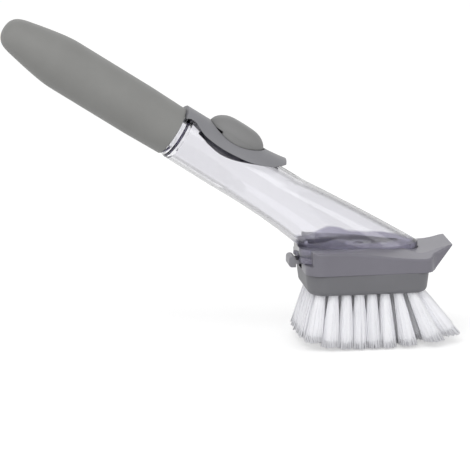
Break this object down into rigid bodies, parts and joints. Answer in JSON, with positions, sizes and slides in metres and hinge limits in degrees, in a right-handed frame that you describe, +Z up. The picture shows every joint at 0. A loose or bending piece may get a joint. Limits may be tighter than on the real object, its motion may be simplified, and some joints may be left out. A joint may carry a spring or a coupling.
{
  "type": "soap dispensing dish wand",
  "caption": "Dish wand with a screw-on grip, a clear soap tank with a press button, and a slide-off bristle head with a scraper toe.",
  "frame": {"origin": "on the floor that the bristles stand on, under the middle of the whole wand's box", "axes": "+X from the grip's tail to the head's scraper toe, +Y across the head, +Z up out of the bristles"},
  "size_m": [0.2486, 0.058, 0.1803],
  "materials": {
    "soft_grip": "soft-touch satin",
    "core_plastic": "matte",
    "silicone": "satin",
    "clear_plastic": "clear, slight violet tint",
    "dark_rubber": "satin",
    "cover_plastic": "satin",
    "soft_pad": "soft-touch satin",
    "holder_plastic": "satin",
    "block_plastic": "satin",
    "staple_wire": "drawn wire",
    "bristle": "white nylon"
  },
  "bodies": {
    "tank": {"tank": "clear_plastic", "tank_base": "clear_plastic", "outlet_valve": "silicone", "valve_ring": "clear_plastic", "pump_diaphragm": "dark_rubber", "button_cover": "cover_plastic"},
    "seal": {"neck_seal": "silicone"},
    "grip": {"grip_sleeve": "soft_grip", "grip_core": "core_plastic", "core_plug": "core_plastic"},
    "button": {"button_pad": "soft_pad", "button_core": "core_plastic"},
    "head": {"head_holder": "holder_plastic", "brush_block": "block_plastic", "soap_tube": "block_plastic", "tuft_staples": "staple_wire", "bristles_outer": "bristle", "bristles_middle": "bristle", "bristles_inner": "bristle"},
    "tab": {"release_tab": "holder_plastic"}
  },
  "joints": [
    {"name": "seal_lift", "type": "slide", "parent": "tank", "child": "seal", "axis": [-0.8372, 0, 0.5468], "range_m": [0, 0.0151]},
    {"name": "grip_unscrew", "type": "hinge", "parent": "seal", "child": "grip", "pos_m": [-0.0338, 0, 0.11791], "axis": [-0.8372, 0, 0.5468], "range_deg": [0, 900]},
    {"name": "button_press", "type": "slide", "parent": "tank", "child": "button", "axis": [-0.5468, 0, -0.8372], "range_m": [0, 0.0016], "stiffness_N_per_m": 1200, "springref_m": -0.001, "deforming": ["pump_diaphragm"]},
    {"name": "head_slide", "type": "slide", "parent": "tank", "child": "head", "axis": [1, 0, 0], "range_m": [0, 0.07]},
    {"name": "tab_press", "type": "hinge", "parent": "head", "child": "tab", "pos_m": [0.05386, 0, 0.0449], "axis": [0, -1, 0], "range_deg": [0, 7], "stiffness_Nm_per_rad": 0.6, "springref_deg": -1.15}
  ],
  "couplings": [
    {"joint": "seal_lift", "follows": "grip_unscrew", "m_per_rad": 0.00095493}
  ]
}
